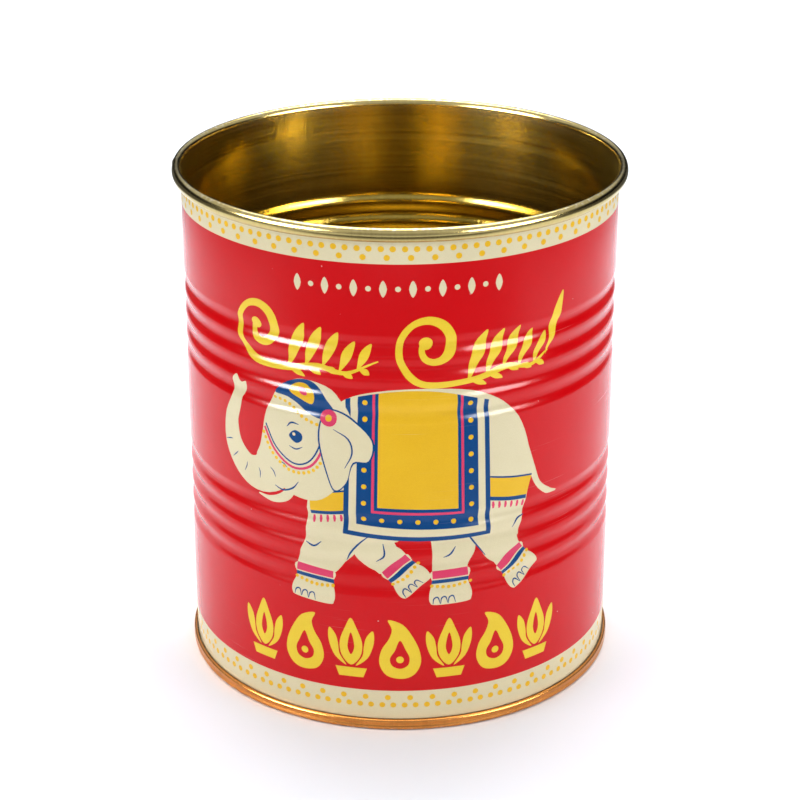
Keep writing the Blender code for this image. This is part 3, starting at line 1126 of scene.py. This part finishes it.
# floor, light and camera
studio = {
    "floorSize": 8.0,
    "floorColor": (0.76, 0.79, 0.84),
    "floorDrop": 0.0001,
    "sweep": (0.55, 1.30),     # the floor turns into the white backdrop between these distances
    "worldColor": (0.90, 0.93, 1.0),
    "airInRoom": 0.16,         # brightness of the air as light, as backdrop, and high and low in gloss
    "airBehind": 1.0,
    "airInGloss": 0.80,
    "lowInGloss": 0.45,
    "highAir": (0.22, 0.42),   # upward and forward slopes of a view between which each air sets in
    "lowAir": (-0.60, -0.90),
    "darkness": 0.06,          # the floor's painted shade, which only reflections see: a patch ahead, between these
    "darkFrom": (-0.09, -0.26),
    "darkTo": (-0.41, -0.48),
    "darkAside": (0.75, 0.15),
    "shadeBeyond": (0.36, 0.50),          # and all that is past these distances from the tin, but not in front: painted shade standing for a dark room
    "openFront": (-0.55, -0.85),
    "cameraPlace": (0.0, -0.5802, 0.3189),
    "lens": 99.0,
    "nearest": 0.01,
    "lights": (
        # name, place, aim, width, height, watts, lights the room, shows in gloss
        ("overhead", (0.0, 0.35, 1.50), (0, 0.1, 0), 1.60, 1.40, 34.0, True, True),
        ("leftFill", (-0.95, -0.55, 0.60), (0, 0, 0.05), 0.60, 0.60, 5.0, True, False),
        ("rightFill", (0.95, -0.60, 0.60), (0, 0, 0.05), 0.60, 0.60, 5.5, True, False),
        ("floorWash", (0.0, 2.20, 1.60), (0, 2.3, 0), 3.00, 1.60, 60.0, True, False),
        ("leftPanel", (-0.80, -0.46, 0.33), (0, 0, 0.09), 0.70, 0.26, 26.0, False, True),
        ("rightPanel", (0.76, -0.56, 0.33), (0, 0, 0.09), 0.74, 0.26, 13.0, False, True),
    ),
}
white = (1.0, 1.0, 1.0, 1.0)


def aim(place, target):
    turned = (Vector(target) - Vector(place)).to_track_quat('-Z', 'Y')
    return Matrix.Translation(place) @ turned.to_matrix().to_4x4()


def makePaper():
    # pale paper; gloss sees painted shade in it, dark parts that only reflections show, and the camera sees
    # it sweep up into a white backdrop
    paper = bpy.data.materials.new("paperFloor")
    paper.use_nodes = True
    tree = paper.node_tree
    shader = tree.nodes["Principled BSDF"].inputs
    spot = parts(tree, addNode(tree, "ShaderNodeTexCoord").outputs["Object"])
    ray = addNode(tree, "ShaderNodeLightPath").outputs
    far = fromAxis(tree, spot["X"], spot["Y"])
    ahead = calc(tree, 'SUBTRACT', ramp(tree, spot["Y"], *studio["darkFrom"]),
                 ramp(tree, spot["Y"], *studio["darkTo"]))
    patch = times(tree, ahead, ramp(tree, calc(tree, 'ABSOLUTE', spot["X"]), *studio["darkAside"]))
    front = ramp(tree, calc(tree, 'DIVIDE', spot["Y"], far), *studio["openFront"])
    past = times(tree, ramp(tree, far, *studio["shadeBeyond"]), calc(tree, 'SUBTRACT', 1.0, front))
    # painted shade: the floor's colour turns dark only for reflection rays, in a patch ahead and past a
    # distance from the tin, except in front
    dim = times(tree, calc(tree, 'MAXIMUM', patch, past), ray["Is Glossy Ray"])
    shade = (*[studio["darkness"]] * 3, 1.0)
    feed(tree, shader["Base Color"], mixColor(tree, dim, (*studio["floorColor"], 1.0), shade))
    sweep = times(tree, ramp(tree, far, *studio["sweep"]), ray["Is Camera Ray"], studio["airBehind"])
    feed(tree, shader["Emission Strength"], sweep)
    shader["Emission Color"].default_value = white
    shader["Roughness"].default_value = 0.9
    shader["Specular IOR Level"].default_value = 0.1
    return paper


def makeAir():
    # gloss sees bright air overhead, a dimmer band low in front and a dark room low at the sides and back
    world = bpy.data.worlds.new("studioAir")
    world.use_nodes = True
    tree = world.node_tree
    air = tree.nodes["Background"].inputs
    ray = addNode(tree, "ShaderNodeLightPath").outputs
    view = parts(tree, addNode(tree, "ShaderNodeTexCoord").outputs["Generated"])
    high = times(tree, ramp(tree, view["Z"], *studio["highAir"]), studio["airInGloss"])
    low = times(tree, ramp(tree, view["Y"], *studio["lowAir"]), studio["lowInGloss"])
    seen = calc(tree, 'MAXIMUM', high, low)
    inGloss = times(tree, ray["Is Glossy Ray"], calc(tree, 'SUBTRACT', seen, studio["airInRoom"]))
    behind = times(tree, ray["Is Camera Ray"], studio["airBehind"] - studio["airInRoom"])
    feed(tree, air["Color"], mixColor(tree, ray["Is Camera Ray"], (*studio["worldColor"], 1.0), white))
    feed(tree, air["Strength"], plus(tree, inGloss, behind, studio["airInRoom"]))
    return world


def addLight(name, place, target, width, height, watts, inRoom, inGloss):
    lamp = bpy.data.lights.new(name, 'AREA')
    lamp.shape = 'RECTANGLE' if inRoom else 'ELLIPSE'
    lamp.size, lamp.size_y = width, height
    lamp.energy = watts
    light = bpy.data.objects.new(name, lamp)
    light.matrix_world = aim(place, target)
    light.visible_diffuse = inRoom
    light.visible_glossy = inGloss
    scene.collection.objects.link(light)


floorHalf = studio["floorSize"] / 2
corners = ((-1, -1), (1, -1), (1, 1), (-1, 1))
floor = newPiece("floor", [(x * floorHalf, y * floorHalf, -studio["floorDrop"]) for x, y in corners],
                 [(0, 1, 2, 3)])
floor.data.materials.append(makePaper())
scene.world = makeAir()
for settings in studio["lights"]:
    addLight(*settings)

cameraData = bpy.data.cameras.new("camera")
cameraData.lens = studio["lens"]
cameraData.clip_start = studio["nearest"]
camera = bpy.data.objects.new("camera", cameraData)
camera.matrix_world = aim(studio["cameraPlace"], (0, 0, (cadBox[0].z + cadBox[1].z) / 2))
scene.collection.objects.link(camera)
scene.camera = camera
scene.view_settings.view_transform = 'Standard'

print("studio set")
